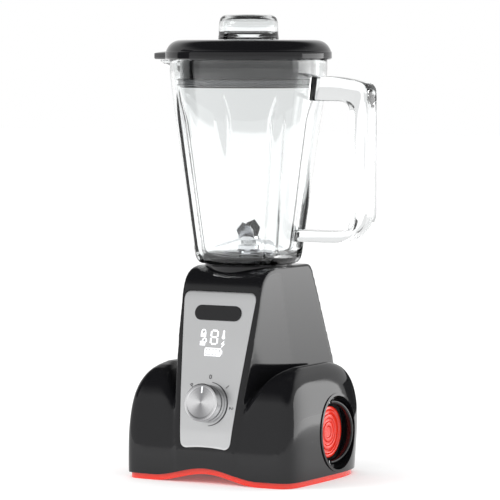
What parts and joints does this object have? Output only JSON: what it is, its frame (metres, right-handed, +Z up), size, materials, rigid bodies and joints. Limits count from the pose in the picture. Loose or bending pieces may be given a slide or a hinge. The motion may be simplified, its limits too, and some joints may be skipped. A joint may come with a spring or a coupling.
{
  "type": "countertop blender",
  "caption": "Cordless countertop jug blender: clear fluted jar with handle, lid and measuring cap on a tower base with speed knob, display and slide-out battery packs.",
  "frame": {"origin": "on the drive axis at the height of the bench the base stands on", "axes": "+Z up along the drive axis; the control panel faces -Y; the jar handle points to +X and the pouring spout to -X"},
  "size_m": [0.217, 0.1594, 0.3996],
  "materials": {
    "housing_black": "gloss",
    "trim_black": "gloss",
    "red_plastic": "gloss",
    "panel_steel": "satin, brushed",
    "knob_aluminium": "turned",
    "screw_steel": "plated",
    "blade_steel": "ground",
    "icon_white": "lit",
    "board_green": "matt",
    "inner_black": "moulded",
    "rubber_black": "matt",
    "gasket_grey": "silicone",
    "magnet_grey": "matt",
    "brass_parts": "turned",
    "cell_green": "shrink sleeve",
    "jar_clear": "clear, polished"
  },
  "bodies": {
    "base": {"badge": "trim_black", "base_plate": "red_plastic", "base_screws": "screw_steel", "battery_bay": "inner_black", "bay_terminals": "brass_parts", "bezel_left": "trim_black", "bezel_right": "trim_black", "charge_socket": "screw_steel", "control_board": "board_green", "display_board": "board_green", "display_icons": "icon_white", "foot_pads": "rubber_black", "front_panel": "panel_steel", "housing": "housing_black", "interlock_switch": "inner_black", "jar_seat": "trim_black", "motor_bearings": "screw_steel", "motor_brushes": "magnet_grey", "motor_can": "screw_steel", "motor_end_bottom": "inner_black", "motor_end_top": "inner_black", "motor_magnets": "magnet_grey", "motor_mount": "inner_black", "mount_screws": "screw_steel", "rotary_switch": "inner_black"},
    "motor_rotor": {"motor_shaft": "screw_steel", "commutator": "brass_parts", "armature": "screw_steel", "cooling_fan": "inner_black", "drive_clutch": "inner_black"},
    "jar_group": {"jar": "jar_clear", "blade_holder": "inner_black", "jar_seal": "rubber_black", "collar_nut": "inner_black", "shaft_bushes": "brass_parts", "shaft_seal": "rubber_black"},
    "blade_group": {"driven_clutch": "inner_black", "blade_shaft": "screw_steel", "lower_blade": "blade_steel", "upper_blade": "blade_steel", "blade_nut": "blade_steel"},
    "lid_group": {"lid": "trim_black", "lid_gasket": "gasket_grey"},
    "cap": {"measuring_cap": "jar_clear"},
    "knob": {"speed_knob": "knob_aluminium", "knob_shaft": "knob_aluminium"},
    "pin": {"interlock_pin": "inner_black"},
    "pack_right": {"pack_case_right": "inner_black", "pack_cells_right": "cell_green", "pack_button_right": "red_plastic", "handle_pins_right": "screw_steel"},
    "pull_right": {"pack_handle_right": "trim_black"},
    "pack_left": {"pack_case_left": "inner_black", "pack_cells_left": "cell_green", "pack_button_left": "red_plastic", "handle_pins_left": "screw_steel"},
    "pull_left": {"pack_handle_left": "trim_black"}
  },
  "joints": [
    {"name": "motor_spin", "type": "hinge", "parent": "base", "child": "motor_rotor", "pos_m": [0, 0, 0.12], "axis": [0, 0, 1], "continuous": true},
    {"name": "jar_lift", "type": "slide", "parent": "base", "child": "jar_group", "axis": [0, 0, 1], "range_m": [0, 0.06]},
    {"name": "blade_spin", "type": "hinge", "parent": "jar_group", "child": "blade_group", "pos_m": [0, 0, 0.2], "axis": [0, 0, 1], "continuous": true},
    {"name": "lid_lift", "type": "slide", "parent": "jar_group", "child": "lid_group", "axis": [0, 0, 1], "range_m": [0, 0.06]},
    {"name": "cap_lift", "type": "slide", "parent": "lid_group", "child": "cap", "axis": [0, 0, 1], "range_m": [0, 0.05]},
    {"name": "knob_turn", "type": "hinge", "parent": "base", "child": "knob", "pos_m": [0, -0.05412, 0.06489], "axis": [0, -0.9783, 0.2071], "range_deg": [-95, 47]},
    {"name": "pin_press", "type": "slide", "parent": "base", "child": "pin", "axis": [0, 0, -1], "range_m": [0, 0.002], "stiffness_N_per_m": 300},
    {"name": "pack_pull_right", "type": "slide", "parent": "base", "child": "pack_right", "axis": [1, 0, 0], "range_m": [0, 0.09]},
    {"name": "pull_swing_right", "type": "hinge", "parent": "pack_right", "child": "pull_right", "pos_m": [0.0735, 0.012, 0.04], "axis": [0, 0, -1], "range_deg": [-12, 75]},
    {"name": "pack_pull_left", "type": "slide", "parent": "base", "child": "pack_left", "axis": [-1, 0, 0], "range_m": [0, 0.09]},
    {"name": "pull_swing_left", "type": "hinge", "parent": "pack_left", "child": "pull_left", "pos_m": [-0.0735, 0.012, 0.04], "axis": [0, 0, 1], "range_deg": [-12, 75]}
  ],
  "couplings": [
    {"joint": "blade_spin", "follows": "motor_spin", "ratio": 1}
  ]
}
